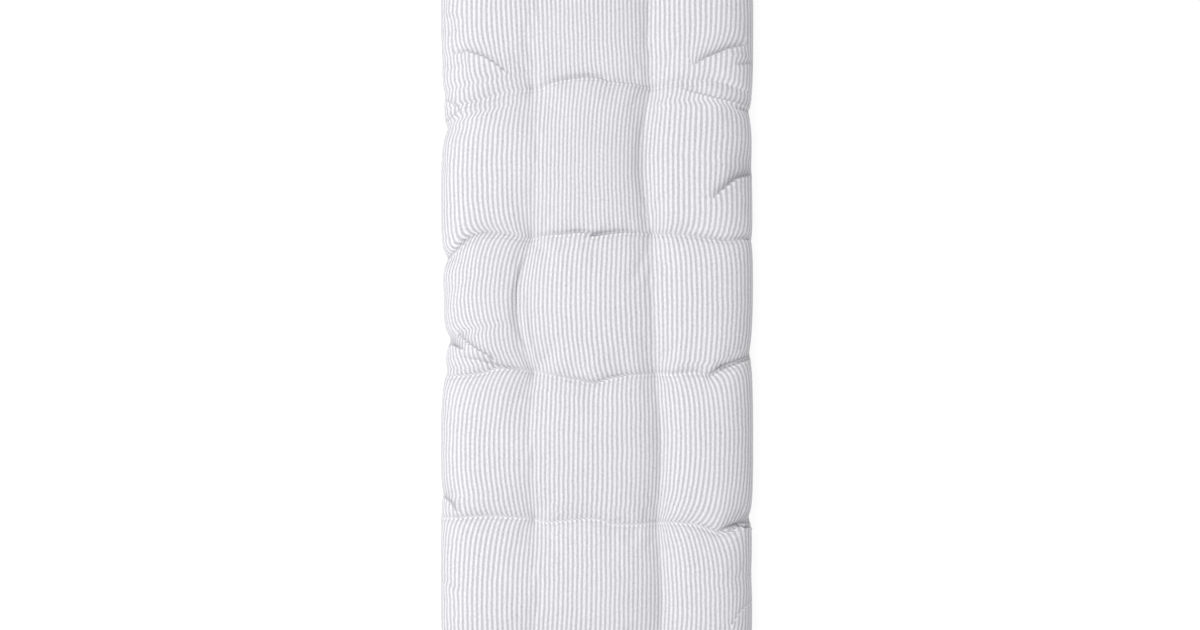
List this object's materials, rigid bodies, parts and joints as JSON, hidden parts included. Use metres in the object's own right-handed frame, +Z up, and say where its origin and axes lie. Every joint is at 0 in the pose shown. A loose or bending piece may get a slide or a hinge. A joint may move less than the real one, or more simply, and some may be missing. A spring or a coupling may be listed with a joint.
{
  "type": "bench cushion",
  "caption": "Long filled bench cushion, stitched through in rows so that it swells into soft panels, with a flat underside to lie on a bench.",
  "frame": {"origin": "middle of the underside, on the surface that the cushion lies on", "axes": "+X across the cushion, +Y along its length towards the head end, +Z up out of the top panel"},
  "size_m": [0.3991, 1.1984, 0.0752],
  "materials": {
    "striped_cotton": "matt woven cotton, off-white with fine grey-blue stripes along the length"
  },
  "bodies": {
    "root": {"cushion": "striped_cotton"}
  },
  "joints": []
}
